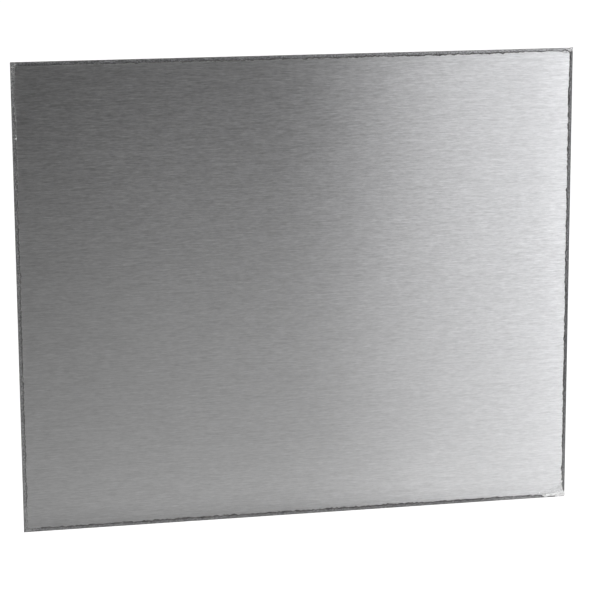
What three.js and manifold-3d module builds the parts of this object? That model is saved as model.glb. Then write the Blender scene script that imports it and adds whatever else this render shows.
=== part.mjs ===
// Door kick plate, self-adhesive pattern, as supplied: a brushed stainless steel sheet with its
// four front edges ground to a shallow bevel, a clear protective film on the brushed face, and
// five strips of double-sided foam tape on the back, each under its own peel-off release liner.
//
// Millimetres. +Z is up, +X is to the right as seen from the front, and the brushed face looks
// along -Y. The origin is the middle of the plane that the door surface takes (the back faces of
// the foam tape once the liners are off), so the steel stands at negative Y and the liners, which
// are peeled off before the plate goes on the door, lie just behind y = 0.

import * as THREE from "three";
import { mergeVertices } from "three/addons/utils/BufferGeometryUtils.js";
import Module from "manifold-3d";

// ---- driving dimensions -------------------------------------------------------------------
const PLATE_W = 300; // across the door
const PLATE_H = 250; // up the door
const PLATE_T = 1.5; // sheet gauge
const BEVEL_W = 2.0; // width of the ground bevel, seen from the front
const BEVEL_D = 0.5; // how far the bevel drops below the brushed face

const FILM_T = 0.1; // clear protective film
const FILM_INSET = BEVEL_W; // the grinding trims the film back to the top of the bevel

const TAPE_T = 1.0; // foam tape thickness
const TAPE_W = 25; // foam tape width
const TAPE_INSET = 10; // from the sheet's edge to the tape
const TAPE_GAP = 10; // between an upright strip and the strip above or below it

const LINER_T = 0.1; // release liner
const TAB = 7; // how far each liner runs on past its tape, as a finger tab
const TAB_R = 3; // rounded corners of the tab

// ---- planes across the thickness ----------------------------------------------------------
const Y_DOOR = 0;
const Y_SHEET_BACK = Y_DOOR - TAPE_T;
const Y_SHEET_FRONT = Y_SHEET_BACK - PLATE_T;
const Y_FILM_FRONT = Y_SHEET_FRONT - FILM_T;
const Y_LINER_BACK = Y_DOOR + LINER_T;

const material = (color, roughness, metalness, opacity = 1) =>
  new THREE.MeshStandardMaterial({
    color,
    roughness,
    metalness,
    opacity,
    transparent: opacity < 1,
  });
const steel = material(0xa9abad, 0.34, 1.0);
const film = material(0xe6edf2, 0.12, 0.0, 0.2);
const foam = material(0x5d6063, 0.9, 0.0);
const liner = material(0xb3262b, 0.35, 0.0);

// ---- boolean helper -----------------------------------------------------------------------
const wasm = await Module();
wasm.setup();

function toSolid(geometry) {
  const g = geometry.clone();
  for (const k of Object.keys(g.attributes))
    if (k !== "position") g.deleteAttribute(k);
  const m = mergeVertices(g, 1e-4);
  return new wasm.Manifold(
    new wasm.Mesh({
      numProp: 3,
      vertProperties: new Float32Array(m.attributes.position.array),
      triVerts: new Uint32Array(m.index.array),
    }),
  );
}

function toGeometry(solid) {
  const m = solid.getMesh();
  const g = new THREE.BufferGeometry();
  const v = new Float32Array(m.numVert * 3);
  for (let i = 0; i < m.numVert; i++)
    v.set(
      m.vertProperties.subarray(i * m.numProp, i * m.numProp + 3),
      i * 3,
    );
  g.setAttribute("position", new THREE.BufferAttribute(v, 3));
  g.setIndex(new THREE.BufferAttribute(new Uint32Array(m.triVerts), 1));
  g.computeVertexNormals();
  return g;
}

// An extruded outline drawn in X (right) and Z (up), filling y from yFront to yBack.
function slab(shape, yFront, yBack, options = {}) {
  const g = new THREE.ExtrudeGeometry(shape, {
    depth: yBack - yFront,
    bevelEnabled: false,
    curveSegments: 6,
    ...options,
  });
  // the extrusion runs along local +Z: turn it so that it runs along -Y, then seat its back
  g.rotateX(Math.PI / 2);
  const p = g.attributes.position;
  for (let i = 0; i < p.count; i++) p.setY(i, p.getY(i) + yBack);
  return g;
}

function rectangle(x0, z0, x1, z1) {
  const s = new THREE.Shape();
  s.moveTo(x0, z0);
  s.lineTo(x1, z0);
  s.lineTo(x1, z1);
  s.lineTo(x0, z1);
  s.closePath();
  return s;
}

// ---- the steel sheet ----------------------------------------------------------------------
// The outline of the flat brushed face is extruded with one straight bevel step outwards at each
// end, and the rear bevel is then cut off, which leaves a square land below the front bevel.
function plateGeometry() {
  const w = PLATE_W / 2 - BEVEL_W;
  const h = PLATE_H / 2 - BEVEL_W;
  const g = new THREE.ExtrudeGeometry(rectangle(-w, -h, w, h), {
    depth: PLATE_T, // straight part, longer than the land so that the cut falls inside it
    bevelEnabled: true,
    bevelSegments: 1,
    bevelSize: BEVEL_W,
    bevelThickness: BEVEL_D,
    bevelOffset: 0,
  });
  g.rotateX(Math.PI / 2); // local z -> -y
  g.computeBoundingBox();
  const front = g.boundingBox.min.y;
  g.translate(0, Y_SHEET_FRONT - front, 0);
  const cutter = new THREE.BoxGeometry(PLATE_W + 20, 20, PLATE_H + 20);
  cutter.translate(0, Y_SHEET_BACK + 10, 0);
  return toGeometry(toSolid(g).subtract(toSolid(cutter)));
}

// ---- tape strips and their liners ---------------------------------------------------------
const left = -PLATE_W / 2 + TAPE_INSET;
const right = PLATE_W / 2 - TAPE_INSET;
const top = PLATE_H / 2 - TAPE_INSET;
const bottom = -PLATE_H / 2 + TAPE_INSET;
const uprightTop = top - TAPE_W - TAPE_GAP;
const uprightBottom = bottom + TAPE_W + TAPE_GAP;

const strips = {
  top: { box: [left, top - TAPE_W, right, top], tab: "right" },
  bottom: { box: [left, bottom, right, bottom + TAPE_W], tab: "right" },
  left: { box: [left, uprightBottom, left + TAPE_W, uprightTop], tab: "up" },
  centre: { box: [-TAPE_W / 2, uprightBottom, TAPE_W / 2, uprightTop], tab: "up" },
  right: { box: [right - TAPE_W, uprightBottom, right, uprightTop], tab: "up" },
};

// The tape's outline carried on past one end as a tab with rounded corners.
function linerShape([x0, z0, x1, z1], tab) {
  const s = new THREE.Shape();
  if (tab === "right") {
    const xe = x1 + TAB;
    s.moveTo(x0, z0);
    s.lineTo(xe - TAB_R, z0);
    s.absarc(xe - TAB_R, z0 + TAB_R, TAB_R, -Math.PI / 2, 0, false);
    s.lineTo(xe, z1 - TAB_R);
    s.absarc(xe - TAB_R, z1 - TAB_R, TAB_R, 0, Math.PI / 2, false);
    s.lineTo(x0, z1);
  } else {
    const ze = z1 + TAB;
    s.moveTo(x0, z0);
    s.lineTo(x1, z0);
    s.lineTo(x1, ze - TAB_R);
    s.absarc(x1 - TAB_R, ze - TAB_R, TAB_R, 0, Math.PI / 2, false);
    s.lineTo(x0 + TAB_R, ze);
    s.absarc(x0 + TAB_R, ze - TAB_R, TAB_R, Math.PI / 2, Math.PI, false);
  }
  s.closePath();
  return s;
}

// ---- assembly -----------------------------------------------------------------------------
const kickPlate = new THREE.Group();
function add(name, geometry, mat, parent = kickPlate) {
  const mesh = new THREE.Mesh(geometry, mat);
  mesh.name = name;
  parent.add(mesh);
  return mesh;
}

add("steel_plate", plateGeometry(), steel);

const fw = PLATE_W / 2 - FILM_INSET;
const fh = PLATE_H / 2 - FILM_INSET;
add(
  "protective_film",
  slab(rectangle(-fw, -fh, fw, fh), Y_FILM_FRONT, Y_SHEET_FRONT),
  film,
);

const back = new THREE.Group();
kickPlate.add(back);
for (const [name, { box, tab }] of Object.entries(strips)) {
  add(`foam_tape_${name}`, slab(rectangle(...box), Y_SHEET_BACK, Y_DOOR), foam, back);
  add(`release_liner_${name}`, slab(linerShape(box, tab), Y_DOOR, Y_LINER_BACK), liner, back);
}

export default kickPlate;
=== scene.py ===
import math

import bpy
import numpy as np
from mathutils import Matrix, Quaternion, Vector

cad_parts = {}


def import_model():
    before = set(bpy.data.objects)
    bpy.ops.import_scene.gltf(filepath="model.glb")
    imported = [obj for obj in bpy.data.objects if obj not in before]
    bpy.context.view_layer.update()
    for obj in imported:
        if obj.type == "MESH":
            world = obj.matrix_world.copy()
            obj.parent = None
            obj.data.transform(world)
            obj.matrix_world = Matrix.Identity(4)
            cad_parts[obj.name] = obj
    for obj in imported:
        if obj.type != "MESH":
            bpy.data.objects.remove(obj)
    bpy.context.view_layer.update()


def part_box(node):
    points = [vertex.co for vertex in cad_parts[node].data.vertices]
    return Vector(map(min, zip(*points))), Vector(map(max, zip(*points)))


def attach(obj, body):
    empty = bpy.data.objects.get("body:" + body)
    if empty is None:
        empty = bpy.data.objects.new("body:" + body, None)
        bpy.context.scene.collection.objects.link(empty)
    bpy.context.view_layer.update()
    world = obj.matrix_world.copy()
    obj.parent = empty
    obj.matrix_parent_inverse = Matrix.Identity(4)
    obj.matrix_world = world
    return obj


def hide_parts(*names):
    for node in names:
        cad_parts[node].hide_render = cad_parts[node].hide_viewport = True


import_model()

scene = bpy.context.scene
MM = 0.001

# ------------------------------------------------------------------------------------------
# Sizes, all read from the frame
# ------------------------------------------------------------------------------------------
P_LO, P_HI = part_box("steel_plate")
F_LO, F_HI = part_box("protective_film")
W, H = P_HI.x - P_LO.x, P_HI.z - P_LO.z
Y_FRONT, Y_BACK = P_LO.y, P_HI.y          # brushed face, back of the sheet
INSET = P_HI.x - F_HI.x                   # width of the ground bevel
BEVEL_D = 0.0005                          # the drop of the bevel, as the CAD has it
Y_FILM = F_LO.y


# ------------------------------------------------------------------------------------------
# Small helpers
# ------------------------------------------------------------------------------------------
def smooth(t):
    t = np.clip(t, 0.0, 1.0)
    return t * t * (3 - 2 * t)


def wander(s, period, wavelength, seed):
    """Smooth seeded noise along a closed line, about -1 to 1; s and period in metres."""
    n = max(4, int(round(period / wavelength)))
    r = np.random.default_rng(seed).uniform(-1, 1, n)
    t = (np.asarray(s, float) / period * n) % n
    i = np.floor(t).astype(int)
    f = smooth(t - i)
    return r[i % n] * (1 - f) + r[(i + 1) % n] * f


def lattice(x, y, z, size, seed):
    """Smooth seeded noise in space, about -1 to 1."""
    p = [np.asarray(v, float) / size for v in (x, y, z)]
    i = [np.floor(v).astype(np.int64) for v in p]
    f = [smooth(v - j) for v, j in zip(p, i)]
    total = 0.0
    for a in (0, 1):
        for b in (0, 1):
            for c in (0, 1):
                h = (i[0] + a) * 73856093 ^ (i[1] + b) * 19349663 ^ (i[2] + c) * 83492791 ^ seed * 2654435761
                h = ((h ^ (h >> 13)) & 0x7FFFFFFF) * 1274126177
                v = ((h ^ (h >> 16)) & 0xFFFF) / 32767.5 - 1
                wgt = (f[0] if a else 1 - f[0]) * (f[1] if b else 1 - f[1]) * (f[2] if c else 1 - f[2])
                total = total + v * wgt
    return total


def make(name, verts, faces, mats, face_mats=None, flat=False, sharp=()):
    me = bpy.data.meshes.new(name)
    me.from_pydata([tuple(map(float, v)) for v in verts], [], [tuple(int(i) for i in f) for f in faces])
    me.update()
    for m in mats:
        me.materials.append(m)
    if face_mats is not None:
        me.polygons.foreach_set("material_index", np.array(face_mats, np.int32))
    me.polygons.foreach_set("use_smooth", np.full(len(faces), not flat))
    if len(sharp):
        want = {tuple(sorted((int(a), int(b)))) for a, b in sharp}
        mark = me.attributes.new("sharp_edge", "BOOLEAN", "EDGE")
        mark.data.foreach_set("value", [tuple(sorted(e.vertices)) in want for e in me.edges])
    me.validate()
    me.update()
    o = bpy.data.objects.new(name, me)
    scene.collection.objects.link(o)
    return o


class Ring:
    """The closed line round the sheet, seen from the front: bottom, right, top, left."""

    def __init__(self, step):
        cs = [(-W / 2, -H / 2), (W / 2, -H / 2), (W / 2, H / 2), (-W / 2, H / 2)]
        self.side, self.t, self.s, self.pos0 = [], [], [], []
        run = 0.0
        for k in range(4):
            a, b = np.array(cs[k]), np.array(cs[(k + 1) % 4])
            L = np.linalg.norm(b - a)
            n = int(round(L / step))
            for j in range(n):
                self.side.append(k)
                self.t.append(j / n)
                self.s.append(run + L * j / n)
            run += L
        self.side, self.t, self.s = map(np.array, (self.side, self.t, self.s))
        self.length = run
        self.n = len(self.s)
        self.a = np.array(cs)[self.side]
        b = np.array(cs)[(self.side + 1) % 4]
        self.L = np.linalg.norm(b - self.a, axis=1)
        self.d = (b - self.a) / self.L[:, None]
        self.inw = np.stack([-self.d[:, 1], self.d[:, 0]], 1)
        self.corner = np.minimum(self.t, 1 - self.t) * self.L   # distance to the nearest corner
        self.fade = smooth(self.corner / 0.0025)

    def at(self, inset):
        """(n, 2) points in x and z, that far in from the sheet's edge. Corners stay square."""
        inset = np.broadcast_to(np.asarray(inset, float), (self.n,))
        first = inset[np.array([int(np.argmax(self.side == k)) for k in range(4)])]
        start, end = first[(self.side - 1) % 4], first[(self.side + 1) % 4]
        run = start + self.t * (self.L - start - end)
        return self.a + self.d * run[:, None] + self.inw * inset[:, None]

    def by_side(self, bottom, right, top, left):
        """A value for each side, in mm, as metres."""
        return np.array([bottom, right, top, left])[self.side] * MM


def zipper(a_idx, a_par, b_idx, b_par):
    """Triangles between two closed rings whose points run the same way, by their place along the ring (0 to 1)."""
    faces, i, j, na, nb = [], 0, 0, len(a_idx), len(b_idx)
    while i < na or j < nb:
        ta = a_par[i + 1] if i + 1 < na else 1.0 + (1e9 if i >= na else 0)
        tb = b_par[j + 1] if j + 1 < nb else 1.0 + (1e9 if j >= nb else 0)
        if (ta <= tb and i < na) or j >= nb:
            faces.append((a_idx[i], a_idx[(i + 1) % na], b_idx[j % nb]))
            i += 1
        else:
            faces.append((a_idx[i % na], b_idx[(j + 1) % nb], b_idx[j]))
            j += 1
    return faces


def cap(verts, faces, outer, outer_par, box, nx, nz, y, flip):
    """Closes a flat rectangle: a grid inside box (x0, x1, z0, z1), sewn to the outer ring. Returns the number of faces."""
    start, base = len(faces), len(verts)
    for z in np.linspace(box[2], box[3], nz + 1):
        for x in np.linspace(box[0], box[1], nx + 1):
            verts.append(np.array([x, y, z]))
    idx = lambda i, j: base + j * (nx + 1) + i
    for j in range(nz):
        for i in range(nx):
            f = (idx(i, j), idx(i + 1, j), idx(i + 1, j + 1), idx(i, j + 1))
            faces.append(f[::-1] if flip else f)
    inner = [idx(i, 0) for i in range(nx)] + [idx(nx, j) for j in range(nz)]
    inner += [idx(i, nz) for i in range(nx, 0, -1)] + [idx(0, j) for j in range(nz, 0, -1)]
    par = np.array([k / nx for k in range(nx)] + [1 + k / nz for k in range(nz)] + [2 + k / nx for k in range(nx)] + [3 + k / nz for k in range(nz)]) / 4
    for f in zipper(list(outer), outer_par, inner, par):
        faces.append(f[::-1] if flip else f)
    return len(faces) - start


# ------------------------------------------------------------------------------------------
# Materials
# ------------------------------------------------------------------------------------------
class Nodes:
    def __init__(self, name):
        self.mat = bpy.data.materials.new(name)
        self.mat.use_nodes = True
        self.tree = self.mat.node_tree
        self.tree.nodes.clear()
        self.out = self.tree.nodes.new("ShaderNodeOutputMaterial")

    def new(self, kind, inputs=None, **attrs):
        n = self.tree.nodes.new(kind)
        for k, v in attrs.items():
            setattr(n, k, v)
        for k, v in (inputs or {}).items():
            sock = n.inputs[k]
            if isinstance(v, bpy.types.NodeSocket):
                self.tree.links.new(v, sock)
            else:
                sock.default_value = v
        return n

    def math(self, op, a, b=0.0, clamp=False):
        n = self.new("ShaderNodeMath", {0: a, 1: b}, operation=op, use_clamp=clamp)
        return n.outputs[0]

    def ramp(self, value, lo, hi, to_lo=0.0, to_hi=1.0, soft=True):
        n = self.new(
            "ShaderNodeMapRange",
            {"Value": value, "From Min": lo, "From Max": hi, "To Min": to_lo, "To Max": to_hi},
            interpolation_type="SMOOTHSTEP" if soft else "LINEAR",
            clamp=True,
        )
        return n.outputs[0]

    def coords(self):
        return self.new("ShaderNodeTexCoord").outputs["Object"]

    def noise(self, vec, scale, detail=2.0, rough=0.5, seed=0.0):
        place = (seed * 1.37 + 11.3, seed * 2.11 + 5.7, seed * 3.73 + 2.9)
        m = self.new("ShaderNodeMapping", {"Vector": vec, "Scale": scale, "Location": place}, vector_type="POINT")
        ins = {"Vector": m.outputs[0], "Scale": 1.0, "Detail": detail, "Roughness": rough}
        return self.new("ShaderNodeTexNoise", ins, noise_dimensions="3D").outputs[0]

    def strokes(self, x, z, along, across, seed, detail=1.0):
        """Straight parallel strokes along x, each with its own pattern: rows of noise, blended from one row to the next."""
        t = self.math("MULTIPLY", z, across)
        row = self.math("FLOOR", t)
        part = self.ramp(self.math("SUBTRACT", t, row), 0.0, 1.0)
        px = self.math("MULTIPLY", x, along)
        out = []
        for k in (0.0, 1.0):
            r = self.math("ADD", row, k)
            v = self.new("ShaderNodeCombineXYZ", {0: self.math("ADD", px, self.math("MULTIPLY", r, 7.913)), 1: self.math("ADD", self.math("MULTIPLY", r, 5.371), seed), 2: self.math("ADD", self.math("MULTIPLY", r, 1.937), seed * 1.7)})
            ins = {"Vector": v.outputs[0], "Scale": 1.0, "Detail": detail, "Roughness": 0.55}
            out.append(self.new("ShaderNodeTexNoise", ins, noise_dimensions="3D").outputs[0])
        a = self.math("MULTIPLY", out[0], self.math("SUBTRACT", 1.0, part))
        return self.math("ADD", a, self.math("MULTIPLY", out[1], part))

    def tint(self, rgb, *factors):
        """rgb times each factor."""
        f = factors[0]
        for x in factors[1:]:
            f = self.math("MULTIPLY", f, x)
        n = self.new("ShaderNodeVectorMath", {0: rgb, "Scale": f}, operation="SCALE")
        return n.outputs[0]

    def swing(self, value, amount):
        """1 + amount * (value - 0.5)."""
        return self.math("ADD", self.math("MULTIPLY", self.math("SUBTRACT", value, 0.5), amount), 1.0)

    def mix(self, fac, a, b):
        n = self.new("ShaderNodeMix", data_type="RGBA")
        for sock, v in ((n.inputs[0], fac), (n.inputs[6], a), (n.inputs[7], b)):
            if isinstance(v, bpy.types.NodeSocket):
                self.tree.links.new(v, sock)
            else:
                sock.default_value = v if not isinstance(v, tuple) or len(v) == 4 else (*v, 1.0)
        return n.outputs[2]

    def bump(self, height, distance, strength=1.0, normal=None):
        ins = {"Height": height, "Distance": distance, "Strength": strength}
        if normal is not None:
            ins["Normal"] = normal
        return self.new("ShaderNodeBump", ins).outputs[0]

    def finish(self, shader):
        self.tree.links.new(shader, self.out.inputs["Surface"])
        return self.mat


STEEL_RGB = (0.636, 0.636, 0.636)


def along_across(n, co):
    """(place along and in from the nearest edge, distance in from it, 1 on an upright edge), for marks that follow the border."""
    s = n.new("ShaderNodeSeparateXYZ", {0: co})
    dx = n.math("SUBTRACT", W / 2, n.math("ABSOLUTE", s.outputs[0]))
    dz = n.math("SUBTRACT", H / 2, n.math("ABSOLUTE", s.outputs[2]))
    upright = n.math("LESS_THAN", dx, dz)
    flat = n.math("SUBTRACT", 1.0, upright)
    along = n.math("ADD", n.math("MULTIPLY", s.outputs[2], upright), n.math("MULTIPLY", s.outputs[0], flat))
    across = n.math("MINIMUM", dx, dz)
    return n.new("ShaderNodeCombineXYZ", {0: along, 1: s.outputs[1], 2: across}).outputs[0], across, upright


def brushed_face():
    n = Nodes("brushed_steel_face")
    co = n.coords()
    s = n.new("ShaderNodeSeparateXYZ", {0: co})
    # the strokes run along x and wander a little up and down
    drift = n.noise(co, (7, 1, 20), 1, 0.5, 3.1)
    z = n.math("ADD", s.outputs[2], n.math("MULTIPLY", drift, 0.0005))
    x = s.outputs[0]
    v = n.new("ShaderNodeCombineXYZ", {0: x, 1: 0.0, 2: z}).outputs[0]
    long_ = n.noise(v, (14, 1, 700), 2, 0.55, 1.7)
    main = n.strokes(x, z, 285, 2600, 5.3, 2.0)
    stroke = n.strokes(x, z, 96, 3100, 15.2, 1.0)
    fine = n.strokes(x, z, 210, 7400, 8.9, 1.0)
    rare = n.noise(v, (60, 1, 3000), 0, 0.5, 12.4)
    scratch = n.ramp(rare, 0.70, 0.80)
    patch = n.noise(co, (11, 1, 16), 2, 0.5, 21.0)
    # the belt bit deeper towards the top of the sheet
    up = n.math("POWER", n.ramp(s.outputs[2], -0.09, 0.09, soft=False), 1.57)
    # less so towards its right end
    high = n.ramp(s.outputs[2], 0.0, 0.08)
    side = n.math("SUBTRACT", n.ramp(x, -0.12, -0.03, 1.16, 1.0), n.ramp(x, -0.02, 0.14, 0.0, 0.80))
    up = n.math("MULTIPLY", up, n.math("ADD", 1.0, n.math("MULTIPLY", high, n.math("SUBTRACT", side, 1.0))))
    depth = n.math("ADD", n.math("MULTIPLY", up, 0.82), 0.74)
    lines = n.math("ADD", n.math("MULTIPLY", n.math("SUBTRACT", main, 0.5), 0.56), n.math("MULTIPLY", n.math("SUBTRACT", stroke, 0.5), 0.38))
    f = n.swing(long_, 0.07)
    f = n.math("MULTIPLY", f, n.math("ADD", n.math("MULTIPLY", lines, depth), 1.0))
    f = n.math("MULTIPLY", f, n.swing(fine, 0.26))
    f = n.math("ADD", f, n.math("MULTIPLY", scratch, 0.07))
    f = n.math("MULTIPLY", f, n.swing(patch, 0.016))
    rough = n.math("ADD", 0.335, n.math("MULTIPLY", n.math("SUBTRACT", long_, 0.5), 0.03))
    tan = n.new(
        "ShaderNodeVectorTransform", {0: (0.0, 0.0, 1.0)}, vector_type="VECTOR", convert_from="OBJECT", convert_to="WORLD"
    ).outputs[0]
    height = n.math("ADD", n.math("MULTIPLY", main, 0.6), n.math("MULTIPLY", fine, 0.4))
    b = n.new(
        "ShaderNodeBsdfPrincipled",
        {
            "Base Color": n.tint(STEEL_RGB, f),
            "Metallic": 1.0,
            "Roughness": rough,
            "Anisotropic": 1.0,
            "Tangent": tan,
            "Normal": n.bump(height, 0.000016, 1.0),
        },
    )
    return n.finish(b.outputs[0])


def ground_bevel():
    n = Nodes("ground_bevel_steel")
    co = n.coords()
    v, across, upright = along_across(n, co)
    marks = n.noise(v, (3600, 200, 260), 2, 0.6, 2.2)
    blotch = n.noise(v, (420, 300, 700), 3, 0.6, 6.1)
    wide = n.noise(v, (60, 60, 60), 2, 0.5, 9.4)
    pits = n.noise(v, (1150, 400, 1400), 1, 0.5, 4.9)
    rim = n.ramp(across, 0.0, 0.00030, 0.72, 1.0)
    # the bands grow darker towards their inner boundary, the flat ones more so
    flat_tone_and_light = n.ramp(across, 0.0003, 0.0019, 1.14, 0.74, soft=False)
    side_tone_and_shade = n.ramp(across, 0.0003, 0.0019, 1.03, 0.93, soft=False)
    # painted shade and light: the bottom edge painted darker, the top edge painted lighter towards its right end, and
    # the bottom edge painted lighter near both its ends
    place = n.new("ShaderNodeSeparateXYZ", {0: co})
    flat_tone_and_light = n.math("MULTIPLY", flat_tone_and_light, n.ramp(place.outputs[2], -0.01, 0.01, 0.89, 1.0))
    right = n.math("ADD", n.ramp(place.outputs[0], 0.04, 0.15, 0.0, 0.26), n.ramp(place.outputs[0], 0.120, 0.134, 0.0, 0.20))
    flat_tone_and_light = n.math("MULTIPLY", flat_tone_and_light, n.math("ADD", 1.0, n.math("MULTIPLY", right, n.ramp(place.outputs[2], -0.01, 0.01))))
    ends = n.math("ADD", n.ramp(place.outputs[0], 0.100, 0.122, 0.0, 0.36), n.ramp(place.outputs[0], -0.146, -0.138, 0.40, 0.0))
    flat_tone_and_light = n.math("MULTIPLY", flat_tone_and_light, n.math("ADD", 1.0, n.math("MULTIPLY", ends, n.ramp(place.outputs[2], -0.01, 0.01, 1.0, 0.0))))
    # painted shade: the upright edges darker towards the bottom
    side_tone_and_shade = n.math("MULTIPLY", side_tone_and_shade, n.ramp(place.outputs[2], -0.125, 0.0, 0.80, 1.0, soft=False))
    band_tone_and_light = n.math("ADD", n.math("MULTIPLY", side_tone_and_shade, upright), n.math("MULTIPLY", flat_tone_and_light, n.math("SUBTRACT", 1.0, upright)))
    f = n.math("MULTIPLY", n.swing(marks, 0.6), n.swing(blotch, 0.6))
    f = n.math("MULTIPLY", f, n.swing(wide, 0.30))
    f = n.math("MULTIPLY", f, n.ramp(pits, 0.34, 0.66, 0.70, 1.36))
    f = n.math("MULTIPLY", f, n.math("MULTIPLY", rim, band_tone_and_light))
    rough = n.ramp(blotch, 0.3, 0.7, 0.30, 0.50)
    b = n.new(
        "ShaderNodeBsdfPrincipled",
        {
            "Base Color": n.tint((0.300, 0.301, 0.303), f),
            "Metallic": 1.0,
            "Roughness": rough,
            "Normal": n.bump(n.math("ADD", marks, blotch), 0.00003, 0.6),
        },
    )
    return n.finish(b.outputs[0])


def cut_edge():
    n = Nodes("cut_edge_steel")
    co = n.coords()
    v, across, upright = along_across(n, co)
    lines = n.noise(v, (5200, 350, 200), 2, 0.6, 4.4)
    blotch = n.noise(v, (300, 900, 300), 3, 0.6, 7.7)
    f = n.math("MULTIPLY", n.swing(lines, 1.1), n.swing(blotch, 0.8))
    b = n.new(
        "ShaderNodeBsdfPrincipled",
        {
            "Base Color": n.tint((0.36, 0.355, 0.35), f),
            "Metallic": 1.0,
            "Roughness": n.ramp(blotch, 0.3, 0.7, 0.38, 0.6),
            "Normal": n.bump(lines, 0.00006, 0.8),
        },
    )
    return n.finish(b.outputs[0])


def mill_back():
    n = Nodes("mill_finish_steel")
    co = n.coords()
    roll = n.noise(co, (10, 1, 500), 3, 0.6, 1.2)
    grain = n.noise(co, (2200, 1, 2600), 2, 0.6, 4.5)
    cloud = n.noise(co, (22, 1, 16), 4, 0.6, 8.8)
    rare = n.noise(co, (26, 1, 1500), 1, 0.5, 11.0)
    f = n.math("MULTIPLY", n.swing(roll, 0.16), n.swing(grain, 0.22))
    f = n.math("MULTIPLY", f, n.swing(cloud, 0.20))
    f = n.math("ADD", f, n.math("MULTIPLY", n.ramp(rare, 0.72, 0.80), 0.10))
    rough = n.math("ADD", n.ramp(cloud, 0.3, 0.7, 0.36, 0.46), n.math("MULTIPLY", roll, 0.04))
    b = n.new(
        "ShaderNodeBsdfPrincipled",
        {
            "Base Color": n.tint((0.60, 0.603, 0.61), f),
            "Metallic": 1.0,
            "Roughness": rough,
            "Normal": n.bump(grain, 0.00001, 0.5),
        },
    )
    return n.finish(b.outputs[0])


def film_gloss(n, co, nor, lo=0.10, hi=0.16):
    wave = n.noise(co, (35, 35, 35), 2, 0.5, 5.9)
    ins = {"Base Color": (0.9, 0.9, 0.9, 1.0), "Metallic": 1.0, "Roughness": n.ramp(wave, 0.3, 0.7, lo, hi), "Normal": nor}
    gloss = n.new("ShaderNodeBsdfPrincipled", ins)
    fres = n.new("ShaderNodeFresnel", {"IOR": 1.42, "Normal": nor})
    return gloss, fres


def clear_film():
    """Clear polyethylene: see-through, with a thin gloss."""
    n = Nodes("clear_film")
    co = n.coords()
    peel = n.noise(co, (420, 420, 420), 2, 0.5, 3.3)
    wave = n.noise(co, (35, 35, 35), 2, 0.5, 5.9)
    nor = n.bump(n.math("ADD", n.math("MULTIPLY", peel, 0.15), wave), 0.00006, 0.25)
    clear = n.new("ShaderNodeBsdfTransparent", {"Color": (0.970, 0.970, 0.971, 1.0)})
    gloss, fres = film_gloss(n, co, nor)
    shine = n.math("MULTIPLY", n.math("SUBTRACT", fres.outputs[0], 0.031), 0.9, clamp=True)   # film and steel share one face; it shines on its own only at a slant
    m = n.new("ShaderNodeMixShader", {0: shine, 1: clear.outputs[0], 2: gloss.outputs[0]})
    # the knife left the margin faintly whitened
    _, across, _ = along_across(n, co)
    fray = n.noise(co, (700, 700, 700), 2, 0.6, 7.4)
    edge = n.math("MULTIPLY", n.ramp(across, 0.0021, 0.0031, 0.055, 0.0), n.ramp(fray, 0.35, 0.65, 0.3, 1.5))
    white = n.new("ShaderNodeBsdfDiffuse", {"Color": n.tint((0.8, 0.8, 0.8), n.swing(fray, 0.4))})
    m = n.new("ShaderNodeMixShader", {0: edge, 1: m.outputs[0], 2: white.outputs[0]})
    return n.finish(m.outputs[0])


def creased_film(name, lo, hi, milk, relief=1.0, shade=0.7, least=0.15, tone=1.0, through=0.992):
    """Crumpled film: part see-through, part silvery creases, and some stress whitening. lo and hi: how much of it is creased."""
    n = Nodes(name)
    co = n.coords()
    grain = n.noise(co, (1300, 1300, 1300), 2, 0.6, 9.1)
    fold = n.noise(co, (620, 620, 620), 2, 0.55, 2.7)
    nor = n.bump(n.math("ADD", grain, fold), 0.00014, 0.7 * relief)
    clear = n.new("ShaderNodeBsdfTransparent", {"Color": (through, through, through, 1.0)})
    silver = n.new(
        "ShaderNodeBsdfPrincipled",
        {"Base Color": n.tint((0.66 * tone,) * 3, n.swing(grain, shade)), "Metallic": 1.0, "Roughness": n.ramp(fold, 0.3, 0.7, 0.22, 0.38), "Normal": nor},
    )
    white = n.new("ShaderNodeBsdfPrincipled", {"Base Color": n.tint((0.80 * tone,) * 3, n.swing(fold, 0.4)), "Roughness": 0.4, "Normal": nor})
    m = n.new("ShaderNodeMixShader", {0: n.ramp(fold, 0.34, 0.64, lo, hi), 1: clear.outputs[0], 2: silver.outputs[0]})
    m = n.new("ShaderNodeMixShader", {0: n.ramp(grain, 0.44, 0.66, milk * least, milk), 1: m.outputs[0], 2: white.outputs[0]})
    return n.finish(m.outputs[0])


def adhesive_side():
    """The film's back: adhesive wetted onto the steel, so it shows no gloss of its own."""
    n = Nodes("film_adhesive_side")
    co = n.coords()
    mott = n.noise(co, (90, 90, 90), 3, 0.6, 2.0)
    clear = n.new("ShaderNodeBsdfTransparent", {"Color": n.tint((0.993, 0.993, 0.993), n.swing(mott, 0.012))})
    return n.finish(clear.outputs[0])


# a near-black material for the ragged dark line along the inner edge of the bevel and for the short dark strokes at the
# corners
def dark_line_material():
    n = Nodes("dark_film_edge_line")
    co = n.coords()
    grain = n.noise(co, (2600, 2600, 2600), 3, 0.7, 1.1)
    blot = n.noise(co, (520, 520, 520), 2, 0.6, 6.6)
    f = n.math("MULTIPLY", n.swing(grain, 1.1), n.ramp(blot, 0.35, 0.75, 0.7, 2.2))
    b = n.new(
        "ShaderNodeBsdfPrincipled",
        {
            "Base Color": n.tint((0.052, 0.050, 0.049), f),
            "Roughness": n.ramp(blot, 0.3, 0.7, 0.42, 0.62),
            "Normal": n.bump(grain, 0.0001, 0.8),
        },
    )
    return n.finish(b.outputs[0])


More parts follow.
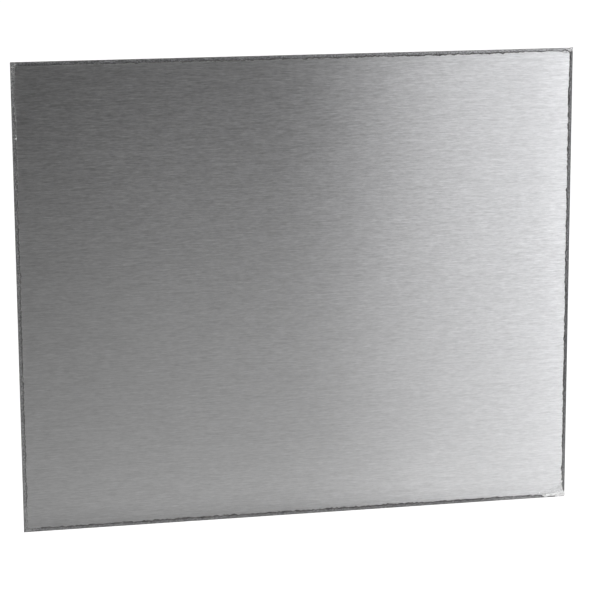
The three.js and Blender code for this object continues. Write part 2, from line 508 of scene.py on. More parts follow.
def foam():
    n = Nodes("foam_tape_grey")
    co = n.coords()
    cells = n.new("ShaderNodeTexVoronoi", {"Vector": co, "Scale": 3600.0, "Randomness": 1.0}, feature="F1", voronoi_dimensions="3D")
    big = n.new("ShaderNodeTexVoronoi", {"Vector": co, "Scale": 1500.0, "Randomness": 1.0}, feature="F1", voronoi_dimensions="3D")
    mott = n.noise(co, (160, 160, 160), 3, 0.6, 3.0)
    # the pores are painted darker as well as bumped in: painted shade in the pits
    pit = n.math("MULTIPLY", n.ramp(cells.outputs["Distance"], 0.0, 0.5, 0.72, 1.0), n.ramp(big.outputs["Distance"], 0.0, 0.35, 0.78, 1.0))
    b = n.new(
        "ShaderNodeBsdfPrincipled",
        {
            "Base Color": n.tint((0.115, 0.120, 0.124), pit, n.swing(mott, 0.3)),
            "Roughness": 0.88,
            "Normal": n.bump(pit, 0.0002, 0.7),
        },
    )
    return n.finish(b.outputs[0])


def liner():
    n = Nodes("release_liner_red")
    co = n.coords()
    s = n.new("ShaderNodeSeparateXYZ", {0: co})
    # a fine diamond emboss, as rolled into polyethylene liner
    k = 2 * math.pi / 0.0016
    a = n.math("SINE", n.math("MULTIPLY", n.math("ADD", s.outputs[0], s.outputs[2]), k))
    c = n.math("SINE", n.math("MULTIPLY", n.math("SUBTRACT", s.outputs[0], s.outputs[2]), k))
    emboss = n.ramp(n.math("MULTIPLY", a, c), -0.5, 0.5)
    wrinkle = n.noise(co, (70, 70, 240), 3, 0.55, 4.0)
    mott = n.noise(co, (40, 40, 40), 3, 0.6, 7.0)
    h = n.math("ADD", n.math("MULTIPLY", emboss, 0.35), n.math("MULTIPLY", wrinkle, 0.8))
    # the colour follows the emboss a little, darker in its hollows and lighter on its ridges: painted shade
    b = n.new(
        "ShaderNodeBsdfPrincipled",
        {
            "Base Color": n.tint((0.40, 0.010, 0.014), n.swing(mott, 0.25), n.swing(emboss, 0.06)),
            "Roughness": n.ramp(wrinkle, 0.3, 0.7, 0.24, 0.36),
            "IOR": 1.5,
            "Subsurface Weight": 0.0,
            "Normal": n.bump(h, 0.00008, 0.6),
        },
    )
    return n.finish(b.outputs[0])


M_FACE, M_BEVEL, M_CUT, M_BACK = brushed_face(), ground_bevel(), cut_edge(), mill_back()
# the slivers' material: white partly from stress whitening and partly a painted highlight for glints along the cut
M_FILM, M_GLUE, M_WHITE_GLINT = clear_film(), adhesive_side(), creased_film("whitened_film_with_painted_glint", 0.5, 1.0, 0.85)
M_DARK_LINE, M_FOAM, M_LINER = dark_line_material(), foam(), liner()


# ------------------------------------------------------------------------------------------
# The steel sheet
# ------------------------------------------------------------------------------------------
ring = Ring(0.0004)


def edge_wander(ring, seed, scale=1.0):
    s, L = ring.s, ring.length
    w = 0.45 * wander(s, L, 0.0045, seed) + 0.62 * wander(s, L, 0.0021, seed + 1) + 0.66 * wander(s, L, 0.0012, seed + 2) + 0.48 * wander(s, L, 0.0008, seed + 3)
    return w * ring.fade * scale


def uneven():
    """The bevel is not quite even: the top one runs wide toward the left, both long ones run narrow at the right. Metres, added to the inset."""
    t, u = ring.t, ring.t * ring.L
    v = ring.L - u
    bottom = -0.30 * smooth((v - 0.003) / 0.006) * (1 - smooth((v - 0.014) / 0.012))
    right = 0.13 * smooth((t - 0.46) / 0.08) * (1 - smooth((t - 0.84) / 0.06))
    top = -0.08 * (1 - smooth(t / 0.45)) + 0.12 * smooth((t - 0.45) / 0.5) - 0.32 * smooth((u - 0.004) / 0.006) * (1 - smooth((u - 0.030) / 0.018))
    return np.select([ring.side == 0, ring.side == 1, ring.side == 2], [bottom, right, top], 0.0) * smooth(ring.corner / 0.006) * MM


def steel_sheet():
    verts, faces, mats, sharp = [], [], [], []

    def loop(inset, y):
        p = ring.at(inset)
        y = np.broadcast_to(y, (ring.n,))
        base = len(verts)
        verts.extend(np.stack([p[:, 0], y, p[:, 1]], 1))
        return np.arange(base, base + ring.n)

    def strip(a, b, mat):
        for i in range(ring.n):
            j = (i + 1) % ring.n
            faces.append((a[i], b[i], b[j], a[j]))
            mats.append(mat)

    def mark(a):
        for i in range(ring.n):
            sharp.append((a[i], a[(i + 1) % ring.n]))

    # ground by hand: a little wider here and narrower there, and slightly crowned
    land = ring.by_side(2.10, 1.97, 1.93, 1.98) + uneven()
    drop = lambda inset: Y_FRONT + BEVEL_D * ((land - inset) / land) ** 1.12
    top_edge = land + edge_wander(ring, 11, 0.00012)
    chat = lambda seed: 0.000012 * wander(ring.s, ring.length, 0.0011, seed) * ring.fade
    nick = np.clip(wander(ring.s, ring.length, 0.006, 77) - 0.72, 0, 1) * 0.00045 * ring.fade
    loops = [
        (top_edge, np.full(ring.n, Y_FRONT)),
        (np.full(ring.n, 0.00150), drop(0.0015) + chat(1)),
        (np.full(ring.n, 0.00100), drop(0.0010) + chat(2)),
        (np.full(ring.n, 0.00055), drop(0.00055) + chat(3)),
        (0.00016 + nick * 0.5, drop(0.00016) + nick * 0.2),
        (0.00005 + nick * 0.5, np.full(ring.n, Y_FRONT + BEVEL_D + 0.00002) + nick * 0.3),
        (0.0 + nick * 0.4, np.full(ring.n, Y_FRONT + BEVEL_D + 0.00010) + nick * 0.3),
        (np.zeros(ring.n) + 0.00003 * np.abs(wander(ring.s, ring.length, 0.0012, 5)) * ring.fade, np.full(ring.n, (Y_FRONT + BEVEL_D + Y_BACK) / 2)),
        (np.zeros(ring.n) + 0.00002 * np.abs(wander(ring.s, ring.length, 0.0010, 6)) * ring.fade, np.full(ring.n, Y_BACK - 0.00016)),
        (np.full(ring.n, 0.00005), np.full(ring.n, Y_BACK - 0.00004)),
        (np.full(ring.n, 0.00016), np.full(ring.n, Y_BACK)),
    ]
    ids = [loop(*l) for l in loops]
    for k in range(len(ids) - 1):
        strip(ids[k], ids[k + 1], 1 if k < 4 else 2)
    mark(ids[0])
    mark(ids[4])
    mark(ids[-1])

    par = (ring.side + ring.t) / 4
    box = (-W / 2 + 0.008, W / 2 - 0.008, -H / 2 + 0.008, H / 2 - 0.008)
    for outer, y, mat, flip in ((ids[0], Y_FRONT, 0, False), (ids[-1], Y_BACK, 3, True)):
        mats += [mat] * cap(verts, faces, outer, par, box, 36, 30, y, flip)
    return make("brushed_steel_sheet", verts, faces, [M_FACE, M_BEVEL, M_CUT, M_BACK], mats, sharp=sharp)


sheet = steel_sheet()
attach(sheet, "plate")
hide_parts("steel_plate")


# ------------------------------------------------------------------------------------------
# The protective film, and what its trimming left along the bevel
# ------------------------------------------------------------------------------------------
FILM_BACK = Y_FRONT - 0.000012
film_edge = ring.by_side(2.08, 1.95, 1.90, 1.95) + uneven() + edge_wander(ring, 31, 0.00029)


def film_sheet():
    verts, faces, mats, sharp = [], [], [], []
    fr = 0.00004 * (0.5 + 0.5 * wander(ring.s, ring.length, 0.0014, 41))
    spec = [
        (film_edge + 0.0006, Y_FILM + 0.0 * fr),
        (film_edge + 0.00012, Y_FILM - fr),
        (film_edge, (Y_FILM + FILM_BACK) / 2 - fr * 0.5),
        (film_edge + 0.00005, np.full(ring.n, FILM_BACK)),
    ]
    ids = []
    for inset, y in spec:
        p = ring.at(inset)
        base = len(verts)
        verts.extend(np.stack([p[:, 0], np.broadcast_to(y, (ring.n,)), p[:, 1]], 1))
        ids.append(np.arange(base, base + ring.n))
    for k in range(3):
        for i in range(ring.n):
            j = (i + 1) % ring.n
            faces.append((ids[k][i], ids[k + 1][i], ids[k + 1][j], ids[k][j]))
            mats.append(0)
    par = (ring.side + ring.t) / 4
    box = (-W / 2 + 0.009, W / 2 - 0.009, -H / 2 + 0.009, H / 2 - 0.009)
    mats += [0] * cap(verts, faces, ids[0], par, box, 36, 30, Y_FILM, False)
    mats += [1] * cap(verts, faces, ids[3], par, box, 36, 30, FILM_BACK, True)
    for i in range(ring.n):
        sharp.append((ids[3][i], ids[3][(i + 1) % ring.n]))
    return make("film_sheet", verts, faces, [M_FILM, M_GLUE], mats, sharp=sharp)


film = film_sheet()
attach(film, "film")
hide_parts("protective_film")


# how strong the dark line is along each side: (place along the side 0 to 1, half width in mm)
DARK_LINE_WIDTH = {
    0: [(0.0, 0.01), (0.019, 0.012), (0.024, 0.20), (0.10, 0.30), (0.30, 0.34), (0.60, 0.34), (0.90, 0.30), (0.940, 0.26), (0.955, 0.16), (0.962, 0.05), (0.970, 0.02), (1.0, 0.01)],
    1: [(0.0, 0.01), (0.012, 0.012), (0.016, 0.22), (0.05, 0.25), (0.30, 0.28), (0.50, 0.31), (0.70, 0.34), (0.97, 0.36), (0.988, 0.50), (1.0, 0.30)],
    2: [(0.0, 0.01), (0.016, 0.012), (0.026, 0.20), (0.06, 0.22), (0.10, 0.27), (0.15, 0.33), (0.40, 0.31), (0.60, 0.25), (0.80, 0.14), (0.92, 0.06), (1.0, 0.02)],
    3: [(0.0, 0.02), (0.05, 0.05), (0.12, 0.08), (0.30, 0.15), (0.50, 0.19), (0.70, 0.20), (0.90, 0.20), (0.918, 0.30), (0.935, 0.32), (0.942, 0.02), (1.0, 0.01)],
}
CORNER = {"bl": (-W / 2, -H / 2), "br": (W / 2, -H / 2), "tr": (W / 2, H / 2), "tl": (-W / 2, H / 2)}
# short dark strokes at the corners: corner, then (x, z, half width) in mm from it
STROKES = [
    ("tr", [(-7.4, -1.80, 0.11), (-6.3, -1.58, 0.15), (-5.3, -1.12, 0.19), (-4.4, -0.98, 0.25), (-3.6, -1.35, 0.27), (-2.5, -1.92, 0.26), (-1.6, -2.12, 0.24), (-0.45, -2.28, 0.20)]),
    ("tl", [(3.0, -2.3, 0.13), (3.02, -2.8, 0.20), (2.95, -3.3, 0.12)]),
    ("tl", [(1.70, -3.3, 0.10), (1.82, -3.7, 0.15), (1.95, -4.2, 0.09)]),
    ("tl", [(0.9, -0.9, 0.10), (1.25, -1.3, 0.13)]),
    ("tl", [(1.25, -4.6, 0.09), (1.60, -5.0, 0.12)]),
    ("tl", [(2.60, -5.6, 0.08), (2.72, -6.2, 0.13), (2.66, -6.8, 0.07)]),
    ("bl", [(0.45, 10.5, 0.16), (0.78, 10.2, 0.26), (0.90, 9.8, 0.14)]),
    ("bl", [(0.40, 6.8, 0.18), (0.80, 7.0, 0.27), (1.30, 6.9, 0.14)]),
    ("bl", [(1.62, 15.6, 0.12), (1.70, 15.0, 0.21), (1.66, 14.6, 0.12)]),
    ("bl", [(4.0, 0.75, 0.07), (5.4, 0.62, 0.14), (7.4, 0.50, 0.17), (9.6, 0.55, 0.10)]),
    ("br", [(-5.0, 0.42, 0.13), (-4.6, 0.36, 0.22)]),
    ("br", [(-3.3, 0.45, 0.16), (-2.9, 0.40, 0.26)]),
    ("br", [(-1.80, 0.44, 0.16), (-1.45, 0.38, 0.25)]),
    ("br", [(-0.80, 0.46, 0.18), (-0.50, 0.40, 0.27)]),
    ("br", [(-0.42, 1.30, 0.12), (-0.40, 1.75, 0.16)]),
    ("br", [(-3.9, 1.60, 0.10), (-3.5, 1.75, 0.13)]),
    ("br", [(-14.2, 1.02, 0.08), (-13.2, 0.96, 0.16), (-12.3, 0.90, 0.08)]),
    ("br", [(-10.6, 0.62, 0.05), (-9.5, 0.64, 0.12), (-8.4, 0.60, 0.15), (-7.4, 0.60, 0.20), (-6.4, 0.58, 0.21), (-5.3, 0.54, 0.12)]),
    ("br", [(-1.05, 5.2, 0.13), (-0.98, 4.5, 0.20), (-1.02, 3.9, 0.13)]),
]


def surface_y(x, z):
    """The front of the steel at x, z."""
    inset = np.minimum(W / 2 - np.abs(x), H / 2 - np.abs(z))
    return Y_FRONT + BEVEL_D * np.clip((INSET - inset) / INSET, 0.0, 1.0)


def stroke(corner, marks, seed, rise):
    """A short closed dark ridge along marks, lying on the steel. Returns vertices and faces."""
    m = np.array(marks, float) * MM
    run = np.concatenate([[0], np.cumsum(np.hypot(*np.diff(m[:, :2], axis=0).T))])
    s = np.linspace(0, run[-1], max(5, int(run[-1] / 0.00018) + 1))
    x, z, h = [np.interp(s, run, m[:, k]) for k in range(3)]
    x, z = x + CORNER[corner][0], z + CORNER[corner][1]
    ends = np.sqrt(np.clip(1 - (2 * s / run[-1] - 1) ** 8, 0.02, 1))
    h = h * ends * (1 + 0.30 * lattice(x, 0, z, 0.0007, seed))
    x = x + 0.00008 * lattice(x, 0, z, 0.0011, seed + 1)
    z = z + 0.00008 * lattice(x, 0, z, 0.0011, seed + 2)
    d = np.gradient(np.stack([x, z], 1), axis=0)
    d /= np.linalg.norm(d, axis=1)[:, None]
    n, verts = 8, []
    for k in range(n):
        a = 2 * math.pi * k / n
        px, pz = x - d[:, 1] * h * math.cos(a), z + d[:, 0] * h * math.cos(a)
        tall = np.minimum(0.00013, h * 0.55) * math.sin(a) * (1.0 if math.sin(a) > 0 else 0.25)
        verts.append(np.stack([px, surface_y(x, z) - rise - tall, pz], 1))
    verts = np.stack(verts, 1).reshape(-1, 3)
    faces = []
    for i in range(len(s) - 1):
        for k in range(n):
            j = (k + 1) % n
            faces.append((i * n + k, i * n + j, (i + 1) * n + j, (i + 1) * n + k))
    faces.append(tuple(range(n))[::-1])
    faces.append(tuple(range((len(s) - 1) * n, len(s) * n)))
    return verts, faces


def dark_edge_line():
    s, L = ring.s, ring.length
    half = np.zeros(ring.n)
    for k, table in DARK_LINE_WIDTH.items():
        on = ring.side == k
        half[on] = np.interp(ring.t[on], [a for a, _ in table], [b for _, b in table]) * MM
    gaps = smooth((wander(s, L, 0.0032, 61) + 0.5 * wander(s, L, 0.0011, 62) + 0.95) / 0.9)
    half = half * (0.62 + 0.38 * gaps) * (1 + 0.46 * wander(s, L, 0.0009, 63) + 0.32 * wander(s, L, 0.0026, 66)) + 0.000012
    centre = film_edge - 0.00008 + 0.00008 * wander(s, L, 0.0016, 64) * ring.fade
    tall = np.minimum(0.00013, half * 0.55) * (1 + 0.3 * wander(s, L, 0.0013, 65))
    n = 8
    verts, faces = [], []
    for k in range(n):
        a = 2 * math.pi * k / n
        inset = centre + half * math.cos(a)
        y = Y_FRONT - 0.00003 - tall * math.sin(a) * (1.0 if math.sin(a) > 0 else 0.25)
        p = ring.at(inset)
        verts.extend(np.stack([p[:, 0], y, p[:, 1]], 1))
    for k in range(n):
        m = (k + 1) % n
        for i in range(ring.n):
            j = (i + 1) % ring.n
            faces.append((k * ring.n + i, m * ring.n + i, m * ring.n + j, k * ring.n + j))
    for i, (corner, marks) in enumerate(STROKES):
        v, f = stroke(corner, marks, 700 + 5 * i, {"br": 0.00050, "tl": 0.00024}.get(corner, 0.00007))
        base = len(verts)
        verts.extend(v)
        faces += [tuple(base + q for q in g) for g in f]
    return make("film_dark_edge_line", verts, faces, [M_DARK_LINE])


dark_line_object = dark_edge_line()
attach(dark_line_object, "film")


def remnant(name, corner, outlines, seed, crumple, lift, mat, cell=0.00019):
    """A scrap of crumpled film on the bevel: outlines in mm from a corner, in x and z. Two skins and a rim, closed."""
    polys = [np.array(o, float) * MM + np.array(CORNER[corner]) for o in outlines]
    lo = np.min([p.min(0) for p in polys], 0) - 1e-6
    hi = np.max([p.max(0) for p in polys], 0) + 1e-6
    nx, nz = [max(2, int(math.ceil((hi[k] - lo[k]) / cell))) for k in (0, 1)]
    xs, zs = np.linspace(lo[0], hi[0], nx + 1), np.linspace(lo[1], hi[1], nz + 1)

    def inside(pts, x, z):
        c = False
        for k in range(len(pts)):
            (x0, z0), (x1, z1) = pts[k], pts[(k + 1) % len(pts)]
            if (z0 > z) != (z1 > z) and x < (x1 - x0) * (z - z0) / (z1 - z0) + x0:
                c = not c
        return c

    rng = np.random.default_rng(seed)
    keep = set()
    for i in range(nx):
        for j in range(nz):
            x, z = (xs[i] + xs[i + 1]) / 2, (zs[j] + zs[j + 1]) / 2
            wob = 0.00028 * float(lattice(x, 0, z, 0.0006, seed))
            if any(inside(p, x + wob, z - wob) for p in polys):
                keep.add((i, j))
    while True:   # cells that meet only at a corner are joined, so that the rim stays one clean wall
        more = set()
        for i in range(nx - 1):
            for j in range(nz - 1):
                a, b, c, d = (i, j) in keep, (i + 1, j) in keep, (i, j + 1) in keep, (i + 1, j + 1) in keep
                if a and d and not b and not c:
                    more.add((i + 1, j))
                elif b and c and not a and not d:
                    more.add((i, j))
        if not more:
            break
        keep |= more
    ids, verts, faces = {}, [], []

    def vid(i, j, k):
        if (i, j, k) not in ids:
            if k:
                b = verts[ids[(i, j, 0)]]
                p = (b[0], b[1] - 0.00006, b[2])
            else:
                x = xs[i] + rng.uniform(-0.28, 0.28) * cell
                z = zs[j] + rng.uniform(-0.28, 0.28) * cell
                c = 0.5 + 0.5 * float(lattice(xs[i], 0, zs[j], 0.00055, seed + 5)) + 0.4 * float(lattice(xs[i], 0, zs[j], 0.00027, seed + 9))
                p = (x, float(surface_y(xs[i], zs[j])) - 0.00003 - lift - crumple * max(0.0, c), z)
            ids[(i, j, k)] = len(verts)
            verts.append(p)
        return ids[(i, j, k)]

    near, twin = {}, {}
    for (i, j) in sorted(keep):
        q0 = [vid(i, j, 0), vid(i + 1, j, 0), vid(i + 1, j + 1, 0), vid(i, j + 1, 0)]
        q1 = [vid(i, j, 1), vid(i + 1, j, 1), vid(i + 1, j + 1, 1), vid(i, j + 1, 1)]
        faces.append(q0[::-1])
        faces.append(q1)
        for (di, dj, a, b) in ((0, -1, 0, 1), (1, 0, 1, 2), (0, 1, 2, 3), (-1, 0, 3, 0)):
            if (i + di, j + dj) not in keep:
                faces.append((q0[a], q0[b], q1[b], q1[a]))
                near.setdefault(q0[a], []).append(q0[b])
                near.setdefault(q0[b], []).append(q0[a])
                twin[q0[a]], twin[q0[b]] = q1[a], q1[b]
    for _ in range(2):   # the torn outline, eased
        eased = {v: tuple(0.5 * verts[v][k] + 0.25 * (verts[n[0]][k] + verts[n[1]][k]) for k in (0, 2)) for v, n in near.items() if len(n) == 2}
        for v, (x, z) in eased.items():
            for w in (v, twin[v]):
                verts[w] = (x, verts[w][1], z)
    o = make(name, verts, faces, [mat], flat=True)
    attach(o, "film")
    return o


remnant(
    "film_flap_top_right", "tr",
    [
        [(-4.7, -0.75), (-3.4, -0.15), (-2.6, 0.02), (-1.5, 0.10), (-1.1, 0.45), (-0.6, 0.62), (0.0, 0.55), (0.10, 0.15), (0.10, -1.95), (-1.3, -1.95), (-2.4, -1.60), (-3.6, -1.00)],
        [(-6.6, -1.95), (-5.4, -1.45), (-4.6, -1.30), (-3.9, -1.55), (-3.2, -2.00), (-3.3, -2.5), (-5.2, -2.6)],
    ],
    3, 0.00010, 0.00004, creased_film("creased_film_top_right", 0.30, 0.70, 0.45, 0.7, 0.4, 0.3, 0.88),
)
remnant(
    "film_scrap_bottom_right", "br",
    [
        [(-13.2, 1.60), (-12.6, 2.3), (-9.2, 2.4), (-4.6, 2.5), (-2.3, 2.9), (-2.1, 4.2), (-1.75, 4.3), (-1.60, 3.5), (-1.1, 3.3), (-0.12, 3.1), (0.06, 2.2), (-0.22, 1.3), (-0.08, 0.25), (-1.6, 0.12), (-3.4, 0.20), (-5.4, 0.30), (-7.9, 0.34), (-9.4, 0.30), (-11.4, 0.34), (-12.3, 1.10)],
        [(-2.5, 9.2), (-2.1, 9.9), (-1.35, 9.7), (-1.30, 9.0), (-1.75, 8.2), (-1.80, 6.6), (-1.55, 5.2), (-1.35, 4.2), (-1.60, 2.6), (-2.8, 2.7), (-2.6, 6.0), (-2.5, 7.8)],
    ],
    5, 0.00022, 0.00002, creased_film("creased_film_bottom_right", 0.35, 0.60, 0.92, 0.8, 0.5, 0.6, 1.06),
)
remnant(
    "film_creases_bottom_right", "br",
    [
        [(-17.0, 2.3), (-16.0, 3.1), (-13.0, 3.4), (-11.4, 4.6), (-8.0, 5.0), (-6.2, 6.4), (-3.4, 7.2), (-2.3, 8.6), (-2.0, 6.0), (-2.6, 3.3), (-4.6, 2.8), (-6.5, 2.5), (-9.5, 2.7), (-13.0, 2.2)],
    ],
    15, 0.00009, 0.00013, creased_film("creased_film_on_face", 0.0, 0.02, 0.07, 0.7, 0.4, 0.0, 1.22, 1.0),
)
remnant(
    "film_scrap_top_left", "tl",
    [[(0.10, -0.12), (2.1, -0.20), (2.9, -0.9), (2.7, -2.2), (3.1, -3.4), (2.6, -4.6), (2.5, -6.4), (1.5, -7.2), (0.8, -6.6), (0.12, -6.9)]],
    7, 0.00017, 0.00002, creased_film("creased_film_top_left", 0.0, 0.36, 0.02, 1.0, 1.0, 0.15, 0.95),
)
remnant(
    "film_scrap_bottom_left", "bl",
    [[(0.25, 0.9), (1.2, 1.3), (2.6, 1.0), (4.6, 0.75), (6.2, 1.35), (6.4, 2.2), (2.3, 2.4), (2.2, 8.0), (2.3, 14.4), (1.0, 14.2), (0.45, 12.4), (0.35, 9.0), (0.9, 6.0), (0.6, 3.5)]],
    9, 0.00002, 0.00001, creased_film("creased_film_bottom_left", 0.12, 0.30, 0.02, 0.35, 0.3, 0.15, 0.85),
)


def flecks():
    """Small white slivers that stand up from the film's trimmed edge, their white partly stress whitening and partly a
    painted highlight for glints along the cut: (side, place along it 0 to 1, inset mm, size mm).
    """
    spots = [
        (3, 0.104, 1.70, 0.52), (3, 0.119, 1.85, 0.62), (3, 0.150, 1.75, 0.46), (3, 0.157, 1.90, 0.62), (3, 0.196, 2.05, 0.46),
        (3, 0.212, 1.95, 0.34), (3, 0.088, 1.60, 0.34), (3, 0.305, 1.80, 0.30), (3, 0.440, 1.80, 0.28), (3, 0.72, 1.75, 0.26),
        (0, 0.195, 1.95, 0.50), (0, 0.455, 2.20, 0.36), (0, 0.52, 2.15, 0.30), (0, 0.74, 2.20, 0.36), (0, 0.805, 2.15, 0.34), (0, 0.90, 2.05, 0.34),
        (0, 0.885, 2.30, 0.40), (0, 0.905, 2.25, 0.46), (0, 0.921, 2.35, 0.38), (0, 0.936, 2.25, 0.50), (0, 0.947, 2.40, 0.36), (1, 0.045, 2.10, 0.36),
        (1, 0.877, 1.85, 0.44), (1, 0.393, 1.95, 0.42), (1, 0.360, 1.95, 0.42), (1, 0.66, 1.95, 0.32), (1, 0.21, 1.95, 0.34),
        (2, 0.26, 1.85, 0.34), (2, 0.175, 1.90, 0.28), (2, 0.455, 1.80, 0.28), (2, 0.60, 1.80, 0.28), (2, 0.71, 1.80, 0.26),
        (1, 0.911, 1.60, 0.26), (1, 0.775, 1.85, 0.32), (1, 0.763, 1.90, 0.24), (1, 0.604, 1.45, 0.36), (1, 0.535, 0.60, 0.30), (1, 0.484, 1.30, 0.36),
        (1, 0.478, 1.20, 0.28), (1, 0.384, 1.50, 0.34), (1, 0.316, 1.70, 0.32), (1, 0.300, 1.80, 0.26), (1, 0.15, 1.75, 0.28), (1, 0.44, 1.80, 0.26),
        (3, 0.250, 1.80, 0.30), (3, 0.262, 1.60, 0.26), (3, 0.272, 1.85, 0.24), (3, 0.135, 1.55, 0.24), (3, 0.035, 1.30, 0.26), (3, 0.052, 1.70, 0.24),
        (0, 0.62, 2.10, 0.26), (0, 0.665, 2.15, 0.28), (0, 0.70, 2.05, 0.24), (0, 0.845, 2.10, 0.28), (0, 0.865, 2.20, 0.30), (0, 0.585, 2.10, 0.24),
    ]
    rng = np.random.default_rng(404)
    verts, faces = [], []
    names = ("bl", "br", "tr", "tl")
    for side, t, inset, size in spots:
        size *= (1.4, 1.5, 1.5, 1.8)[side]
        a, b = np.array(CORNER[names[side]]), np.array(CORNER[names[(side + 1) % 4]])
        d = (b - a) / np.linalg.norm(b - a)
        inw = np.array([-d[1], d[0]])
        c = a + (b - a) * t + inw * inset * MM
        L, w_, base = size * MM, size * MM * rng.uniform(0.45, 0.7), len(verts)
        rows = 7
        turn = rng.uniform(-0.6, 0.6)
        u = d * math.cos(turn) + inw * math.sin(turn)
        v = -d * math.sin(turn) + inw * math.cos(turn)
        turned = u[0] * v[1] - u[1] * v[0] > 0
        for r in range(rows):
            f = r / (rows - 1)
            half = w_ / 2 * (math.sin(math.pi * (0.12 + 0.8 * f)) ** 0.8) * (1 + rng.uniform(-0.2, 0.2))
            mid = c + u * (f - 0.5) * L + v * rng.uniform(-0.08, 0.08) * L
            y = Y_FRONT - 0.00010 - 0.00030 * f * f * min(1.2, size / 0.5)
            for sv, sy in ((-1, 0), (0, -0.3), (1, 0), (0, 0.3)):
                q = mid + v * half * sv
                verts.append((q[0], y + sy * 0.00016, q[1]))
        for r in range(rows - 1):
            for k in range(4):
                m = (k + 1) % 4
                ring_ = (base + r * 4 + k, base + (r + 1) * 4 + k, base + (r + 1) * 4 + m, base + r * 4 + m)
                faces.append(ring_ if turned else ring_[::-1])
        e = base + (rows - 1) * 4
        first, last = (base, base + 1, base + 2, base + 3), (e + 3, e + 2, e + 1, e)
        faces += [first, last] if turned else [first[::-1], last[::-1]]
    o = make("film_edge_slivers", verts, faces, [M_WHITE_GLINT], flat=True)
    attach(o, "film")


flecks()


# ------------------------------------------------------------------------------------------
# Foam tape and release liners on the back
# ------------------------------------------------------------------------------------------
def tape(node, seed):
    lo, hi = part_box(node)
    step = 0.0007
    pts, nor, par = [], [], []
    cs = [(lo.x, lo.z), (hi.x, lo.z), (hi.x, hi.z), (lo.x, hi.z)]
    for k in range(4):
        a, b = np.array(cs[k]), np.array(cs[(k + 1) % 4])
        L = np.linalg.norm(b - a)
        n = int(round(L / step))
        d = (b - a) / L
        inw = np.array([-d[1], d[0]])
        for j in range(n):
            pts.append(a + (b - a) * j / n)
            par.append((k + j / n) / 4)
            if j == 0:
                prev = np.array(cs[k]) - np.array(cs[k - 1])
                prev = prev / np.linalg.norm(prev)
                nor.append(inw + np.array([-prev[1], prev[0]]))
            else:
                nor.append(inw)
    pts, nor = np.array(pts), np.array(nor)
    n = len(pts)
    y0, y1 = lo.y + 0.00001, hi.y - 0.00001
    rows = [(y0, 0.00003), (y0 + 0.00008, 0.00012), (y0 + 0.00028, 0.00016), (y0 + 0.00050, 0.00018), (y0 + 0.00072, 0.00016), (y1 - 0.00008, 0.00012), (y1, 0.00003)]
    verts, faces = [], []
    for y, base in rows:
        rag = 0.5 + 0.5 * lattice(pts[:, 0], y, pts[:, 1], 0.0009, seed) + 0.4 * lattice(pts[:, 0], y, pts[:, 1], 0.0035, seed + 1)
        d = base + 0.00010 * np.clip(rag, 0, 1.5) * (0.4 if base < 0.0001 else 1.0)
        p = pts + nor * d[:, None]
        verts.extend(np.stack([p[:, 0], np.full(n, y), p[:, 1]], 1))
    for k in range(len(rows) - 1):
        for i in range(n):
            j = (i + 1) % n
            faces.append((k * n + i, (k + 1) * n + i, (k + 1) * n + j, k * n + j))
    sharp = [(i, (i + 1) % n) for i in range(n)] + [((len(rows) - 1) * n + i, (len(rows) - 1) * n + (i + 1) % n) for i in range(n)]
    box = (lo.x + 0.0012, hi.x - 0.0012, lo.z + 0.0012, hi.z - 0.0012)
    nx, nz = [max(6, int(v / 0.004)) for v in (hi.x - lo.x, hi.z - lo.z)]
    top = (len(rows) - 1) * n
    cap(verts, faces, range(n), par, box, nx, nz, y0, False)
    cap(verts, faces, range(top, top + n), par, box, nx, nz, y1, True)
    o = make(node.replace("foam_tape", "foam_strip"), verts, faces, [M_FOAM], sharp=sharp)
    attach(o, "plate")
    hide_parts(node)
    return o


